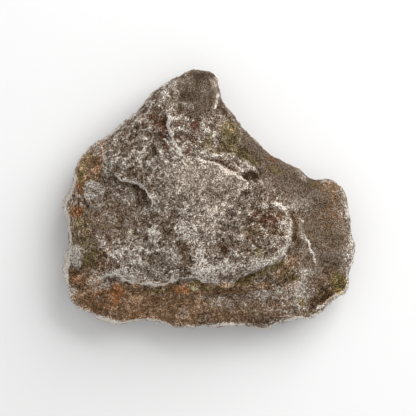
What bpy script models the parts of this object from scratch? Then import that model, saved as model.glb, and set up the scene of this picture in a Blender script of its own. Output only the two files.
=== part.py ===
"""A weathered stony meteorite, 120 mm long, lying on its flattest side.

It is one solid piece of stone. Seen from above it is a rough triangle with a blunt peak at +Y, a long
hollow side towards +X and a raised, flat-topped lobe in the middle. Each curved step on its top is the
rim of a flake that has broken away. X runs along its length, Y towards the peak and Z up, and the origin
is at the middle of its box, on the surface it rests on.

The stone starts as a slab cut to the plan outline. The slab gets a fine, even skin, and the skin is then
carved: the top to a surface through spot heights, broken by the flake rims, and the underside to a few
flat facets around the face that it rests on.
"""

import math

import bmesh
import bpy
import numpy as np
from mathutils import Matrix, noise

MM = 0.001

# Driving dimensions, in millimetres.
LENGTH = 120.0
BELT_HEIGHT = 11.5
SKIN_STEP = 1.3
SLAB_THICKNESS = 8.0
EDGE_HALF_THICKNESS = 3.4
TOP_EDGE_WIDTH = 6.5
UNDER_EDGE_WIDTH = 7.0
UNDER_EDGE_CURVE = 1.4
BASE_TRIM = 1.8
TRIANGLES = 9000

# The belt is the widest line round the stone. It rises by this much for each millimetre along X and Y,
# and it waves up and down by its swing, with this long a wave along X and Y.
BELT_RISE = (0.02, -0.015)
BELT_SWING = 2.2
BELT_WAVE = (47.0, 71.0)

# The plan outline, counter-clockwise from the peak: (X, Y) at each corner and each bend.
OUTLINE = (
    # down the straight upper left side
    (-4.0, 53.0), (-7.5, 53.1), (-10.5, 52.0), (-13.0, 50.0), (-17.0, 47.5), (-21.0, 45.0),
    (-23.5, 42.3), (-26.0, 39.5), (-28.0, 37.0), (-31.0, 34.6), (-35.5, 32.0), (-38.5, 29.2),
    (-41.0, 26.8), (-43.5, 25.0), (-47.5, 22.6), (-49.2, 20.8), (-51.5, 17.0), (-53.2, 15.5),
    # the left end, with its two shallow bays
    (-54.1, 11.5), (-55.2, 7.5), (-57.2, 3.6), (-59.3, 0.3), (-59.9, -2.4), (-59.0, -7.0),
    (-57.9, -12.5), (-57.5, -18.5), (-58.6, -23.5), (-60.0, -28.5), (-60.2, -32.0), (-59.2, -36.5),
    # the lower left corner and the bottom edge
    (-57.0, -40.8), (-53.0, -44.4), (-48.6, -46.8), (-45.0, -49.7), (-40.0, -51.3), (-36.0, -50.7),
    (-31.0, -49.6), (-26.0, -50.1), (-20.0, -51.8), (-12.5, -52.7), (-5.0, -52.3), (2.0, -51.7),
    (9.0, -51.5), (15.0, -51.9), (19.5, -52.8), (22.5, -52.5), (28.0, -50.9), (33.0, -49.4),
    # the lip at the lower right corner
    (37.0, -49.3), (41.0, -49.6), (43.5, -48.2), (46.5, -45.5), (50.0, -42.6), (54.0, -39.8),
    (56.9, -38.2), (57.4, -35.5), (57.4, -31.0), (58.4, -28.3),
    # the right side
    (59.6, -24.0), (60.0, -19.0), (58.8, -13.5), (57.8, -9.0), (57.1, -4.0), (56.4, 1.0),
    (55.4, 4.2), (53.4, 5.9), (50.5, 7.4), (47.6, 8.5), (45.2, 7.8), (42.0, 8.6), (39.0, 9.7),
    # the long hollow side, back up to the peak
    (37.9, 11.5), (34.0, 12.8), (30.0, 14.9), (27.6, 16.4), (25.0, 17.7), (21.0, 22.0),
    (17.0, 25.2), (13.6, 28.8), (11.8, 32.0), (9.3, 35.3), (6.4, 38.2), (4.6, 41.5),
    (3.7, 45.5), (3.1, 48.6), (1.9, 51.3), (0.0, 52.7),
)

# Spot heights on the top, as on a map: X, Y and the height there.
SPOT_HEIGHTS = (
    # the flat-topped lobe
    (-5, 6, 34.5), (-4, -10, 35.5), (-6, -25, 34.5), (18, -10, 34.5), (29, -12, 33.0), (14, -24, 33.5),
    (-20, -24, 33.0), (-30, -29, 31.0), (-11, 15, 33.5), (6, 8, 33.5),
    # the shoulder towards the straight side
    (-24, 14, 32.0), (-34, 18, 29.5), (-30, 27, 27.5), (-20, 36, 26.0), (-38, 12, 28.5),
    # the peak, with its smooth dark facet
    (-10, 28, 31.0), (-4, 24, 30.5), (-6, 38, 29.0), (-5, 47, 26.0), (0, 43, 27.0),
    # the long slope to the hollow side
    (6, 31, 26.0), (8, 22, 26.0), (16, 22, 21.0), (24, 12, 23.0), (33, 9, 19.5), (26, 4, 27.0),
    # the shallow basin on the right
    (36, 0, 25.0), (45, 2, 22.0), (53, 0, 21.0), (42, -12, 25.0), (50, -14, 21.5), (56, -22, 21.0),
    (48, -27, 19.0), (52, -33, 17.0), (45, -38, 16.5), (40, -33, 22.0), (41, -46, 16.0),
    # the scar on the left
    (-31, 1, 29.5), (-38, -6, 27.0), (-33, -14, 29.0), (-44, -14, 25.5), (-50, 3, 23.0), (-54, -6, 20.5),
    (-48, 13, 23.5), (-44, -24, 27.0), (-53, -21, 21.0), (-54, -31, 18.0), (-48, -32, 23.0),
    # the ledge along the bottom
    (-52, -38, 16.5), (-43, -41, 19.0), (-30, -42, 20.5), (-14, -42, 22.0), (2, -43, 22.5), (16, -38, 25.0),
    (28, -32, 27.0), (28, -44, 18.5), (12, -47, 17.5), (-22, -48, 15.5),
)
SPOT_ROUNDING = 3.0

# Each flake rim: its line, with the high side on its left, then the step in height, the half-width of
# the wall and how far the step reaches on either side.
FLAKE_RIMS = {
    "lobe_rim": {
        "line": (
            (-53, -35.2), (-46, -34.4), (-41, -31.2), (-37, -31.3), (-31, -34.4), (-25, -35.2), (-19, -35.0),
            (-13, -33.2), (-7, -32.0), (-2, -33.8), (4, -35.6), (9, -35.4), (13, -32.0), (19, -29.0),
            (25, -26.6), (30, -23.0), (33.2, -18.0), (34.2, -12.0), (33.4, -7.0), (29, -2.8), (23, 0.6),
        ),
        "step": 5.5, "wall": 1.6, "reach": 11.0,
    },
    "left_scar_rim": {
        "line": (
            (-22.5, -7.0), (-23.5, -2.5), (-25.2, 1.5), (-28.0, 5.3), (-31.5, 6.7), (-35.0, 6.6),
            (-37.8, 8.6), (-40.5, 13.0), (-41.8, 19.0),
        ),
        "step": -3.2, "wall": 1.3, "reach": 8.0,
    },
    "peak_flake_rim": {
        "line": ((-12.6, 18.5), (-14.0, 22.0), (-15.8, 25.5), (-16.6, 29.5), (-16.4, 33.5), (-14.5, 38.0)),
        "step": -2.6, "wall": 1.2, "reach": 6.0,
    },
    "layer_rim": {
        "line": (
            (23.0, 4.5), (21.2, 9.5), (17.5, 13.8), (13.0, 16.7), (9.0, 18.7), (5.0, 19.3), (1.5, 18.2),
            (-1.5, 16.0),
        ),
        "step": 2.6, "wall": 1.2, "reach": 6.0,
    },
    "peak_slope_rim": {
        "line": ((1.0, 34.0), (3.0, 39.0), (3.6, 44.0), (2.6, 49.0)),
        "step": 1.8, "wall": 1.0, "reach": 4.0,
    },
    "basin_rim": {
        "line": (
            (37.0, -44.0), (36.6, -38.0), (38.6, -32.0), (37.6, -27.0), (40.5, -20.0), (38.4, -11.0),
            (35.5, -5.0),
        ),
        "step": 2.2, "wall": 1.6, "reach": 6.0,
    },
    "corner_lip": {
        "line": ((57.2, -31.0), (56.2, -36.5), (52.0, -39.2), (47.5, -42.0), (44.0, -45.0), (41.5, -48.0)),
        "step": 4.0, "wall": 1.2, "reach": 5.0,
    },
}

# Each rim fades away over this length at both its ends.
RIM_FADE = 6.0

# Grooves and pits on the top: their line, the depth and the half-width.
GROOVES = {
    "crack": {
        "line": (
            (-12, 19), (-7, 16.9), (-2, 16.2), (3, 15.2), (7.5, 13.2), (11.5, 10.6), (14.6, 7.0), (14.2, 3.0),
            (12, 0),
        ),
        "depth": 1.3, "half_width": 1.1,
    },
    "dark_pocket": {
        "line": ((16.0, 9.4), (18.4, 10.2), (21.0, 8.8)),
        "depth": 2.6, "half_width": 2.0,
    },
    "left_notch": {
        "line": ((-49, -24), (-52.5, -28), (-58, -30.5)),
        "depth": 1.6, "half_width": 2.2,
    },
}

# The flat facets of the underside: the direction they face, how far out they begin and how steep they are.
UNDER_FACETS = (
    (200, 31, 24), (238, 33, 21), (275, 29, 26), (318, 36, 22), (352, 33, 19), (45, 15, 23), (88, 29, 27),
    (128, 22, 25), (160, 34, 20),
)

# Waves of the surface that weather leaves: how long they are and how deep.
WAVES = ((17.0, 1.3), (7.5, 0.75))

BROWN_GREY = (0.165, 0.125, 0.098, 1.0)


def smoothstep(low, high, value):
    """0 below low, 1 above high and a smooth rise between."""
    t = np.clip((value - low) / (high - low), 0.0, 1.0)
    return t * t * (3.0 - 2.0 * t)


def clear_scene():
    for obj in list(bpy.data.objects):
        bpy.data.objects.remove(obj, do_unlink=True)


def smooth_line(corners, parts=5):
    """Points on a Catmull-Rom curve through the corners."""
    p = np.array([corners[0], *corners, corners[-1]], float)
    points = []
    for before, start, end, after in zip(p, p[1:], p[2:], p[3:], strict=False):
        bend = 2 * before - 5 * start + 4 * end - after
        twist = 3 * start - before - 3 * end + after
        for t in np.arange(parts) / parts:
            points.append(start + ((end - before) * t + bend * t**2 + twist * t**3) / 2)
    return np.array([*points, p[-1]])


def nearest_on_line(places, line):
    """For each place, the distance to the line, positive on the line's left, and how far along it that is."""
    start, step = line[:-1], np.diff(line, axis=0)
    length = np.linalg.norm(step, axis=1)
    from_start = places[:, None, :] - start[None]
    share = np.clip((from_start * step).sum(2) / length**2, 0.0, 1.0)
    gap = np.linalg.norm(from_start - share[..., None] * step, axis=2)
    nearest = gap.argmin(1)
    row = np.arange(len(places))
    cross = step[nearest, 0] * from_start[row, nearest, 1] - step[nearest, 1] * from_start[row, nearest, 0]
    along = np.concatenate([[0.0], np.cumsum(length)])[nearest] + share[row, nearest] * length[nearest]
    return np.where(cross < 0, -1.0, 1.0) * gap[row, nearest], along, length.sum()


def spot_surface(places):
    """A smooth surface through every spot height: one rounded cone on each spot, weighted to fit them all."""
    spots = np.array(SPOT_HEIGHTS, float)
    mean = spots[:, 2].mean()

    def cones(at):
        gap = np.linalg.norm(at[:, None, :] - spots[None, :, :2], axis=2)
        return np.sqrt(gap**2 + SPOT_ROUNDING**2)

    weights = np.linalg.solve(cones(spots[:, :2]), spots[:, 2] - mean)
    return mean + cones(places) @ weights


def rim_steps(places):
    """The height that the flake rims and grooves add: each rim a step that fades at its ends and sideways."""
    added = np.zeros(len(places))
    for rim in FLAKE_RIMS.values():
        side, along, length = nearest_on_line(places, smooth_line(rim["line"]))
        ends = smoothstep(0.0, RIM_FADE, along) * smoothstep(0.0, RIM_FADE, length - along)
        rise = smoothstep(-rim["wall"], rim["wall"], side) - 0.5
        added += rim["step"] * rise * ends * np.exp(-np.abs(side) / rim["reach"])
    for groove in GROOVES.values():
        side, _, _ = nearest_on_line(places, smooth_line(groove["line"]))
        added -= groove["depth"] * np.exp(-((side / groove["half_width"]) ** 2))
    return added


def inward_distance(places):
    """How far each place is inside the plan outline."""
    closed = np.array([*OUTLINE, OUTLINE[0]], float)
    side, _, _ = nearest_on_line(places, closed)
    return np.maximum(side, 0.0)


def belt(places):
    """The height of the stone's widest line."""
    swing = BELT_SWING * np.sin(math.tau * (places / np.array(BELT_WAVE)).sum(axis=1))
    return BELT_HEIGHT + places @ np.array(BELT_RISE) + swing


def top_height(places, inside):
    """The carved top, rounded down to just above the belt at the outline."""
    carved = spot_surface(places) + rim_steps(places)
    low = belt(places) + EDGE_HALF_THICKNESS
    shoulder = np.clip(inside / TOP_EDGE_WIDTH, 0.0, 1.0)
    return low + (carved - low) * np.sqrt(1.0 - (1.0 - shoulder) ** 2)


def under_height(places, inside):
    """The underside: facets that rise outwards from the flat base, and a chamfer up to the belt."""
    low = np.zeros(len(places))
    for facing, begins, slope in UNDER_FACETS:
        out = np.array([math.cos(math.radians(facing)), math.sin(math.radians(facing))])
        low = np.maximum(low, (places @ out - begins) * math.tan(math.radians(slope)))
    high = belt(places) - EDGE_HALF_THICKNESS
    chamfer = high * (1.0 - np.clip(inside / UNDER_EDGE_WIDTH, 0.0, 1.0)) ** UNDER_EDGE_CURVE
    return np.minimum(np.maximum(low, chamfer), high)


def outline_slab():
    """A slab cut to the plan outline, as a mesh object."""
    curve = bpy.data.curves.new("outline", "CURVE")
    curve.dimensions = "2D"
    curve.fill_mode = "BOTH"
    curve.extrude = SLAB_THICKNESS * MM / 2
    spline = curve.splines.new("POLY")
    spline.points.add(len(OUTLINE) - 1)
    for point, (x, y) in zip(spline.points, OUTLINE, strict=True):
        point.co = (x * MM, y * MM, 0.0, 1.0)
    spline.use_cyclic_u = True
    drawn = bpy.data.objects.new("outline", curve)
    bpy.context.scene.collection.objects.link(drawn)
    bpy.context.view_layer.update()
    mesh = bpy.data.meshes.new_from_object(drawn.evaluated_get(bpy.context.evaluated_depsgraph_get()))
    bpy.data.objects.remove(drawn)
    bm = bmesh.new()
    bm.from_mesh(mesh)
    bmesh.ops.remove_doubles(bm, verts=bm.verts, dist=0.00001)
    bmesh.ops.recalc_face_normals(bm, faces=bm.faces)
    bm.to_mesh(mesh)
    bm.free()
    return mesh


def evaluated_copy(obj, name):
    """The object's mesh with its modifiers applied, as a new mesh."""
    bpy.context.view_layer.update()
    mesh = bpy.data.meshes.new_from_object(obj.evaluated_get(bpy.context.evaluated_depsgraph_get()))
    mesh.name = name
    return mesh


def even_skin(mesh):
    """The slab with an even skin of small faces, which the carving then moves."""
    obj = bpy.data.objects.new("slab", mesh)
    bpy.context.scene.collection.objects.link(obj)
    remesh = obj.modifiers.new("skin", "REMESH")
    remesh.mode = "VOXEL"
    remesh.voxel_size = SKIN_STEP * MM
    skin = evaluated_copy(obj, "skin")
    bpy.data.objects.remove(obj)
    return skin


def carve(mesh):
    """Moves every point of the slab's skin to the stone's top, side or underside."""
    points = np.empty(len(mesh.vertices) * 3)
    mesh.vertices.foreach_get("co", points)
    points = points.reshape(-1, 3) / MM
    places = points[:, :2]
    inside = inward_distance(places)
    share = np.clip(points[:, 2] / SLAB_THICKNESS + 0.5, 0.0, 1.0)
    low, high = under_height(places, inside), top_height(places, inside)
    points[:, 2] = low + share * (high - low)
    mesh.vertices.foreach_set("co", (points * MM).ravel())
    mesh.update()


def weather(mesh):
    """Rounds the carving a little, then waves the surface along its normals."""
    bm = bmesh.new()
    bm.from_mesh(mesh)
    bmesh.ops.smooth_vert(bm, verts=bm.verts, factor=0.5, use_axis_x=True, use_axis_y=True, use_axis_z=True)
    bm.normal_update()
    moves = []
    for vert in bm.verts:
        height = 0.0
        for length, depth in WAVES:
            height += depth * noise.noise(vert.co / (length * MM))
        moves.append(vert.normal * height * MM)
    for vert, move in zip(bm.verts, moves, strict=True):
        vert.co += move
    bm.to_mesh(mesh)
    bm.free()


def thin_out(mesh):
    """Fewer, larger triangles where the stone is nearly flat."""
    obj = bpy.data.objects.new("carved", mesh)
    bpy.context.scene.collection.objects.link(obj)
    decimate = obj.modifiers.new("thin_out", "DECIMATE")
    decimate.ratio = TRIANGLES / sum(len(face.vertices) - 2 for face in mesh.polygons)
    decimate.use_collapse_triangulate = True
    thin = evaluated_copy(obj, "meteorite")
    bpy.data.objects.remove(obj)
    return thin


def seat(mesh):
    """Flattens the lowest bumps into the resting face, then puts the origin below the middle of the box."""
    bm = bmesh.new()
    bm.from_mesh(mesh)
    ground = min(vert.co.z for vert in bm.verts) + BASE_TRIM * MM
    for vert in bm.verts:
        vert.co.z = max(vert.co.z, ground)
    corners = np.array([vert.co for vert in bm.verts])
    middle = (corners.min(0) + corners.max(0)) / 2
    scale = LENGTH * MM / np.ptp(corners[:, 0])
    bmesh.ops.translate(bm, verts=bm.verts, vec=(-middle[0], -middle[1], -ground))
    bmesh.ops.transform(bm, matrix=Matrix.Scale(scale, 4), verts=bm.verts)
    bm.to_mesh(mesh)
    bm.free()


def stone_material():
    material = bpy.data.materials.new("weathered_stone")
    material.use_nodes = True
    shader = material.node_tree.nodes["Principled BSDF"]
    shader.inputs["Base Color"].default_value = BROWN_GREY
    shader.inputs["Roughness"].default_value = 0.85
    shader.inputs["Metallic"].default_value = 0.0
    return material


def build_meteorite():
    mesh = even_skin(outline_slab())
    carve(mesh)
    weather(mesh)
    mesh = thin_out(mesh)
    seat(mesh)
    mesh.materials.append(stone_material())
    stone = bpy.data.objects.new("meteorite", mesh)
    parts = bpy.data.collections.new("stony_meteorite")
    bpy.context.scene.collection.children.link(parts)
    parts.objects.link(stone)
    return stone


clear_scene()
build_meteorite()
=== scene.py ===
# %% [markdown]
# # A weathered stony meteorite
# The stone is a flat hand specimen, 120 mm long, that lies on a white table under one large soft lamp. It
# is a single piece, so this lesson is about one surface: how to give a plain carved block the crisp
# broken edges, the crumbly relief and the layered stains of a stone that has lain outdoors for a long
# time.
#
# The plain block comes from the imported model. It is the frame: it stays where it is, and the finished
# stone is made in the same place.

# %% Load the frame
import math

import bmesh
import bpy
import numpy as np
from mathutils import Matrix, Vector, noise


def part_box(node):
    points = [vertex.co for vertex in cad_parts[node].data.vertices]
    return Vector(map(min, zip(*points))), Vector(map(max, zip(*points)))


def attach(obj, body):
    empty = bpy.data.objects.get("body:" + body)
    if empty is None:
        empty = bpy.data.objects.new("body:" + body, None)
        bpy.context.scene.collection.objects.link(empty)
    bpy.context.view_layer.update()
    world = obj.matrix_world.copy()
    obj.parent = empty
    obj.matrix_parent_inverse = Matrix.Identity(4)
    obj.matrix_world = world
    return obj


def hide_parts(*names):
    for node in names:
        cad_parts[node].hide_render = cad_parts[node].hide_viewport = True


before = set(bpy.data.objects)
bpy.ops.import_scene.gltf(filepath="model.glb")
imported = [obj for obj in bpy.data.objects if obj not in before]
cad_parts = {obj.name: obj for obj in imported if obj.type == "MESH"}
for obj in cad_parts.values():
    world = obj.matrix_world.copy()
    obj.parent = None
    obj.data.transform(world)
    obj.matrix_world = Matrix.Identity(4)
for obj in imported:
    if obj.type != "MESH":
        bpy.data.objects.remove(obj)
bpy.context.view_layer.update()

MM = 0.001
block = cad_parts["meteorite"]
low_corner, high_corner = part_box("meteorite")
print("block:", [round(side / MM, 1) for side in high_corner - low_corner], "mm")

# %% [markdown]
# ## Camera, table and light
# The stone is seen from straight above. A short lens would show more of its sides at the edges of the
# picture, so the camera stands 1.2 m up with a long lens, as it would on a copy stand. Its height and its
# lens give the width that it sees, which is measured at the height where the stone is widest.

# %% Camera
CAMERA_HEIGHT = 1.2
SEEN_WIDTH = 0.1715
WIDEST_HEIGHT = 0.0115
AIM = (-0.0002, -0.0037)

scene = bpy.context.scene
camera_data = bpy.data.cameras.new("camera")
camera_data.sensor_width = 36.0
camera_data.lens = camera_data.sensor_width * (CAMERA_HEIGHT - WIDEST_HEIGHT) / SEEN_WIDTH
camera_data.clip_start = 0.01
camera_data.dof.use_dof = False
camera = bpy.data.objects.new("camera", camera_data)
camera.location = (*AIM, CAMERA_HEIGHT)
scene.collection.objects.link(camera)
scene.camera = camera
scene.view_settings.view_transform = "Standard"
print("lens:", round(camera_data.lens), "mm")

# %% [markdown]
# Two helpers serve every material. Colours are written as hex values, as a paint chart gives them, and a
# shader wants them linear. A node is added together with its settings and its links, so that a material
# reads from top to bottom.

# %% Colours and nodes


def linear_colour(hex_colour):
    """An sRGB colour such as "#8a7a6c" as the linear RGBA that a shader takes."""
    channels = [int(hex_colour[i : i + 2], 16) / 255 for i in (1, 3, 5)]
    return (*[c / 12.92 if c <= 0.04045 else ((c + 0.055) / 1.055) ** 2.4 for c in channels], 1.0)


def add_node(tree, kind, settings=None, inputs=None):
    """Adds a node and fills its inputs: an output socket is linked, and any other value is set."""
    made = tree.nodes.new(kind)
    for name, value in (settings or {}).items():
        setattr(made, name, value)
    for key, value in (inputs or {}).items():
        if isinstance(value, bpy.types.NodeSocket):
            tree.links.new(value, made.inputs[key])
        else:
            made.inputs[key].default_value = value
    return made


print("middle grey is", round(linear_colour("#808080")[0], 3), "when linear")

# %% [markdown]
# A stone's pale edge only reads against a table that is nearly white. The table is matt card, which
# scatters the light evenly and shows no reflection of the stone.

# %% Table
TABLE_SIZE = 3.0

bm = bmesh.new()
bmesh.ops.create_grid(bm, x_segments=1, y_segments=1, size=TABLE_SIZE / 2)
table_mesh = bpy.data.meshes.new("table")
bm.to_mesh(table_mesh)
bm.free()
table = bpy.data.objects.new("table", table_mesh)
scene.collection.objects.link(table)

white_card = bpy.data.materials.new("matt_white_card")
white_card.use_nodes = True
card_shader = white_card.node_tree.nodes["Principled BSDF"]
card_shader.inputs["Base Color"].default_value = linear_colour("#f2f2f2")
card_shader.inputs["Roughness"].default_value = 0.9
card_shader.inputs["Specular IOR Level"].default_value = 0.2
table_mesh.materials.append(white_card)
print("table:", TABLE_SIZE, "m wide")

# %% [markdown]
# The lamp is a large square of light to the upper right, so the shadow falls to the lower left with a
# very soft edge. A small lamp would draw every grain's shadow and make the stone look harder than it is.
# The world around it is a white room that fills the shadow.

# %% Light
LAMP_PLACE = Vector((0.52, 0.57, 0.48))
LAMP_SIZE = 0.84
LAMP_POWER = 9.3
ROOM_LIGHT = 0.645

lamp_data = bpy.data.lights.new("soft_lamp", "AREA")
lamp_data.size = LAMP_SIZE
lamp_data.energy = LAMP_POWER
lamp = bpy.data.objects.new("soft_lamp", lamp_data)
lamp.location = LAMP_PLACE
lamp.rotation_euler = (-LAMP_PLACE).to_track_quat("-Z", "Y").to_euler()
scene.collection.objects.link(lamp)

room = bpy.data.worlds.new("white_room")
room.use_nodes = True
room.node_tree.nodes["Background"].inputs["Color"].default_value = (1.0, 1.0, 1.0, 1.0)
room.node_tree.nodes["Background"].inputs["Strength"].default_value = ROOM_LIGHT
scene.world = room
print("lamp:", round(LAMP_PLACE.length, 2), "m away")

# %% [markdown]
# ## From the plain block to an even skin
# The block has about 8,000 triangles, large where it is flat and small at its edges. Fine relief needs
# small faces everywhere. Subdividing would keep the uneven triangles, so a voxel remesh is used: it wraps
# the block in even squares about half a millimetre wide.
#
# The relief is worked out for all points at once, so the first helpers read the points into an array in
# millimetres and write them back. The last one averages each point with its neighbours, which softens a
# shape.

# %% Points and their neighbours
CELL = 0.58


def mesh_points(mesh):
    """The mesh's points, in millimetres."""
    flat = np.empty(len(mesh.vertices) * 3, np.float32)
    mesh.vertices.foreach_get("co", flat)
    return flat.reshape(-1, 3).astype(float) / MM


def move_points(mesh, points):
    """Moves the mesh's points to these places, in millimetres."""
    mesh.vertices.foreach_set("co", (points * MM).astype(np.float32).ravel())
    mesh.update()


def point_normals(mesh):
    """The direction that the surface faces at each point."""
    flat = np.empty(len(mesh.vertices) * 3, np.float32)
    mesh.vertex_normals.foreach_get("vector", flat)
    return flat.reshape(-1, 3).astype(float)


def even_skin(mesh, name):
    """The same closed shape as a new mesh of even squares."""
    carrier = bpy.data.objects.new("carrier", mesh)
    scene.collection.objects.link(carrier)
    remesh = carrier.modifiers.new("skin", "REMESH")
    remesh.mode = "VOXEL"
    remesh.voxel_size = CELL * MM
    bpy.context.view_layer.update()
    skin = bpy.data.meshes.new_from_object(carrier.evaluated_get(bpy.context.evaluated_depsgraph_get()))
    skin.name = name
    bpy.data.objects.remove(carrier)
    return skin


class Web:
    """The mesh's edges, for averaging values over neighbours."""

    def __init__(self, mesh):
        flat = np.empty(len(mesh.edges) * 2, np.int32)
        mesh.edges.foreach_get("vertices", flat)
        self.one, self.other = flat.reshape(-1, 2).T
        self.count = len(mesh.vertices)
        self.neighbours = np.bincount(flat, minlength=self.count).astype(float)

    def soften(self, values, rounds):
        """Each value, or each point, moved half way to its neighbours' mean, this many times."""
        columns = values.reshape(self.count, -1).T.copy()
        for _ in range(rounds):
            for column in columns:
                total = np.bincount(self.one, weights=column[self.other], minlength=self.count)
                total += np.bincount(self.other, weights=column[self.one], minlength=self.count)
                column += 0.5 * (total / self.neighbours - column)
        return columns.T.reshape(values.shape)


print("cells of the skin:", CELL, "mm")

# %% [markdown]
# The block's triangles are loose, and a remesh would take the gaps between them for holes. So a copy is
# merged first. A few rounds of softening then take the block's flat facets away.

# %% Even skin
FACET_ROUNDS = 8

bm = bmesh.new()
bm.from_mesh(block.data)
bmesh.ops.remove_doubles(bm, verts=bm.verts, dist=0.01 * MM)
merged = bpy.data.meshes.new("merged_block")
bm.to_mesh(merged)
bm.free()

rough_out = even_skin(merged, "rough_out")
web = Web(rough_out)
points = web.soften(mesh_points(rough_out), FACET_ROUNDS)
move_points(rough_out, points)
print("even skin:", len(rough_out.polygons), "squares")

# %% [markdown]
# ## Noise and lines
# Two helpers do most of the carving and, later, the staining. Noise is a smooth random value that has
# bumps of a chosen size. Its seed shifts it, so that two uses don't match. A line is a smooth curve on
# the plan, and every point of the stone gets its distance from it, positive on the line's left.

# %% Noise
SEED_SHIFT = np.array([31.7, 57.3, 83.9])


def bumps(places, size, seed):
    """Smooth noise from about -1 to 1, with bumps of this size, in millimetres."""
    at = places / size + seed * SEED_SHIFT
    return 2.0 * np.array([noise.noise(place) for place in at.tolist()])


def smoothstep(low, high, value):
    """0 below low, 1 above high and a smooth rise between."""
    t = np.clip((value - low) / (high - low), 0.0, 1.0)
    return t * t * (3.0 - 2.0 * t)


print("half way up a smooth step:", smoothstep(0.0, 1.0, 0.5))

# %% [markdown]
# The curve passes through its corners, as a bent spline does on a drawing board. It is cut into short
# straight parts, and each point keeps the distance from the part that it is nearest to.

# %% Lines on the plan


def smooth_line(corners, parts=4):
    """Points on a Catmull-Rom curve through the corners."""
    p = np.array([corners[0], *corners, corners[-1]], float)
    made = []
    for before, start, end, after in zip(p, p[1:], p[2:], p[3:], strict=False):
        bend = 2 * before - 5 * start + 4 * end - after
        twist = 3 * start - before - 3 * end + after
        for t in np.arange(parts) / parts:
            made.append(start + ((end - before) * t + bend * t**2 + twist * t**3) / 2)
    return np.array([*made, p[-1]])


def beside_line(places, corners):
    """
    Each place's distance from the line, positive on its left, how far along the line it is, and the line's
    length.
    """
    line = smooth_line(corners)
    nearest = np.full(len(places), np.inf)
    side = np.zeros(len(places))
    along = np.zeros(len(places))
    passed = 0.0
    for start, end in zip(line, line[1:], strict=False):
        step = end - start
        length = math.hypot(*step)
        reach = places[:, :2] - start
        share = np.clip(reach @ step / length**2, 0.0, 1.0)
        gap = np.hypot(*(reach - share[:, None] * step).T)
        closer = gap < nearest
        left = np.where(step[0] * reach[:, 1] < step[1] * reach[:, 0], -1.0, 1.0)
        nearest = np.where(closer, gap, nearest)
        side = np.where(closer, left * gap, side)
        along = np.where(closer, passed + share * length, along)
        passed += length
    return side, along, passed


print("a line through 3 corners has", len(smooth_line(((0, 0), (5, 1), (9, 4)))), "points")

# %% [markdown]
# ## Crisp flake rims
# Where a flake breaks off, it leaves a low cliff: a thin lip at the top, a steep wall and a narrow crack
# at its foot. The block has these steps in their places, but rounded. Each line below runs along one rim.
# Modelling each cliff by hand would take many loops of edges, and a line with a profile across it does
# the same for all of them.

# %% Where the rims run
# Each rim's corners on the plan, the step in height from its right to its left, the height of its lip,
# the depth of its crack, and how much the ground at the foot of the wall is raised, all in millimetres.
FLAKE_RIMS = {
    "lobe_rim_left": (
        (
            (-53, -35.2), (-46, -34.4), (-41, -31.2), (-37, -31.3), (-31, -34.4), (-25, -35.2),
            (-19, -35.0), (-13, -33.2), (-7, -32.0), (-2, -33.8),
        ),
        1.4, 0.4, 0.0, 0.8,
    ),
    "lobe_rim_right": (
        (
            (-12, -33.0), (-7, -32.0), (-2, -33.8), (4, -35.6), (9, -35.4), (13, -32.0), (19, -29.0),
            (25, -26.6), (30, -23.0), (33.2, -18.0), (34.2, -12.0), (33.4, -7.0), (29, -2.8), (23, 0.6),
        ),
        3.6, 0.4, 0.4, 0.0,
    ),
    "left_scar_rim": (
        (
            (-22.5, -7.0), (-23.5, -2.5), (-25.2, 1.5), (-28.0, 5.3), (-31.5, 6.7), (-35.0, 7.2),
            (-38.0, 9.0), (-42.0, 9.8),
        ),
        -1.3, 0.45, 0.25, 0.9,
    ),
    "peak_flake_rim": (
        (
            (-9.6, 15.0), (-12.4, 18.6), (-14.2, 22.0), (-15.6, 25.5), (-16.2, 29.5), (-16.2, 33.0),
            (-15.4, 37.0),
        ),
        -1.0, 0.6, 0.1, 1.0,
    ),
    "layer_rim": (
        (
            (23.0, 4.5), (21.2, 9.5), (17.5, 13.8), (13.0, 16.7), (9.0, 18.7), (5.0, 19.3), (1.5, 18.2),
            (-1.5, 16.0),
        ),
        1.3, 0.2, 0.25, 0.3,
    ),
    "peak_slope_rim": (((1.0, 34.0), (3.0, 39.0), (3.6, 44.0), (2.6, 49.0)), 1.8, 0.2, 0.2, 0.0),
    "basin_rim": (
        (
            (37.0, -44.0), (36.6, -38.0), (38.6, -32.0), (37.6, -27.0), (40.5, -20.0), (38.4, -11.0),
            (35.5, -5.0),
        ),
        1.2, 0.2, 0.1, 0.0,
    ),
    "corner_lip": (
        ((57.2, -31.0), (56.2, -36.5), (52.0, -39.2), (47.5, -42.0), (44.0, -45.0), (41.5, -48.0)),
        3.0, 0.3, 0.1, 0.0,
    ),
    "small_scar_lip": (((-23.3, 30.4), (-26.4, 29.0), (-29.6, 28.3)), 1.0, 0.3, 0.3, 0.0),
}
print("rims:", ", ".join(FLAKE_RIMS))

# %% [markdown]
# Across each line, the soft step is swapped for a steep one, the lip is raised and the crack is cut.
# Noise makes the line wander by half a millimetre, since a break never follows a clean curve. The steep
# walls stretch the squares, so the stone gets a second even skin.

# %% Carve the rims
SOFT_WALL = 2.0
STEEP_WALL = 0.45
LIP_PLACE = 0.9
LIP_WIDTH = 0.8
CRACK_WIDTH = 0.6
RIM_FADE = 6.0
RIM_REACH = 7.0
FILL_REACH = 5.0
RIM_WANDER = 0.55


def wandering(places):
    """How far a broken line strays sideways at each place, in millimetres."""
    return RIM_WANDER * (bumps(places, 3.2, 4) + 0.5 * bumps(places, 1.3, 5))


def line_profile(places, corners, stray):
    """Each place's distance from a straying line, and how strong the line is there, from 0 to 1."""
    side, along, length = beside_line(places, corners)
    fade = min(RIM_FADE, length / 3)
    return side + stray, smoothstep(0.0, fade, along) * smoothstep(0.0, fade, length - along)


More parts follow.
